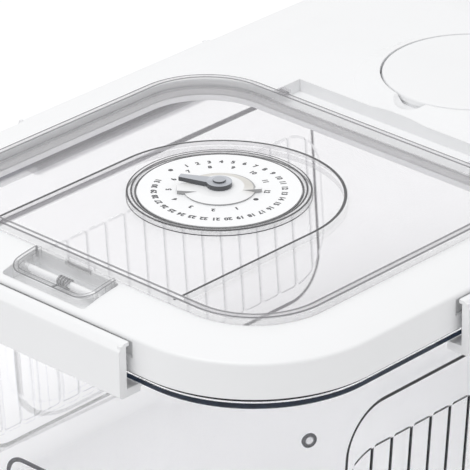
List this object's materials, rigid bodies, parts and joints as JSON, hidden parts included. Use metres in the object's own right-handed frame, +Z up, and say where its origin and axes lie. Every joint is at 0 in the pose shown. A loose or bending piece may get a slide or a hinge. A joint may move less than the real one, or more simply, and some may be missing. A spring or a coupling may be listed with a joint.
{
  "type": "rice storage container",
  "caption": "Clear drafted food tub with a white clip-on lid, a hinged clear flap carrying a date dial, a press latch and a round desiccant cap.",
  "frame": {"origin": "centre of the footprint on the surface the tub stands on", "axes": "+X along the front edge to the viewer's right, +Y from the latch at the front to the cap at the rear, +Z up"},
  "size_m": [0.2192, 0.3022, 0.1406],
  "materials": {
    "clear_tub": "clear, polished, faint cool tint",
    "clear_flap": "clear, polished",
    "white_lid": "white, satin gloss moulding",
    "white_clip": "white, satin gloss moulding",
    "white_cap": "white, satin gloss moulding",
    "white_dial": "white, semi-gloss",
    "grey_pointer": "cool grey, semi-gloss",
    "silicone": "translucent white, matt",
    "steel": "plain drawn wire and rod"
  },
  "bodies": {
    "tub": {"tub": "clear_tub"},
    "lid": {"lid": "white_lid", "lid_seal": "silicone", "desiccant_cup": "white_lid", "flap_hinge_pin_left": "steel", "flap_hinge_pin_right": "steel", "latch_axle": "white_dial", "latch_spring": "steel"},
    "flap": {"flap": "clear_flap", "flap_seal": "silicone", "dial_disc": "white_dial", "dial_ring": "clear_flap", "dial_pivot": "white_dial"},
    "pointer_white": {"pointer_white": "white_dial"},
    "pointer_grey": {"pointer_grey": "grey_pointer"},
    "latch": {"latch_button": "clear_flap"},
    "cap": {"cap": "white_cap", "cap_seal": "silicone"},
    "clip_front": {"clip_front": "white_clip"},
    "clip_rear": {"clip_rear": "white_clip"},
    "clip_left": {"clip_left": "white_clip"},
    "clip_right": {"clip_right": "white_clip"}
  },
  "joints": [
    {"name": "lid_lift", "type": "slide", "parent": "tub", "child": "lid", "axis": [0, 0, 1], "range_m": [0, 0.03]},
    {"name": "flap_hinge", "type": "hinge", "parent": "lid", "child": "flap", "pos_m": [0, 0.0271, 0.1311], "axis": [-1, 0, 0], "range_deg": [0, 105]},
    {"name": "white_pointer_turn", "type": "hinge", "parent": "flap", "child": "pointer_white", "pos_m": [0, -0.0564, 0.137], "axis": [0, 0, 1], "continuous": true},
    {"name": "grey_pointer_turn", "type": "hinge", "parent": "flap", "child": "pointer_grey", "pos_m": [0, -0.0564, 0.1385], "axis": [0, 0, 1], "continuous": true},
    {"name": "latch_press", "type": "hinge", "parent": "lid", "child": "latch", "pos_m": [0, -0.1325, 0.1287], "axis": [1, 0, 0], "range_deg": [0, 12], "stiffness_Nm_per_rad": 0.05, "springref_deg": -5.73},
    {"name": "cap_lift", "type": "slide", "parent": "lid", "child": "cap", "axis": [0, 0, 1], "range_m": [0, 0.025]},
    {"name": "clip_front_hinge", "type": "hinge", "parent": "lid", "child": "clip_front", "pos_m": [0, -0.1478, 0.1243], "axis": [-1, 0, 0], "range_deg": [0, 120]},
    {"name": "clip_rear_hinge", "type": "hinge", "parent": "lid", "child": "clip_rear", "pos_m": [0, 0.1478, 0.1243], "axis": [1, 0, 0], "range_deg": [0, 120]},
    {"name": "clip_left_hinge", "type": "hinge", "parent": "lid", "child": "clip_left", "pos_m": [-0.1063, 0, 0.1243], "axis": [0, 1, 0], "range_deg": [0, 120]},
    {"name": "clip_right_hinge", "type": "hinge", "parent": "lid", "child": "clip_right", "pos_m": [0.1063, 0, 0.1243], "axis": [0, -1, 0], "range_deg": [0, 120]}
  ],
  "couplings": [
    {"joint": "clip_front_hinge", "follows": "lid_lift", "rad_per_m": 69.8},
    {"joint": "clip_rear_hinge", "follows": "lid_lift", "rad_per_m": 69.8},
    {"joint": "clip_left_hinge", "follows": "lid_lift", "rad_per_m": 69.8},
    {"joint": "clip_right_hinge", "follows": "lid_lift", "rad_per_m": 69.8}
  ]
}
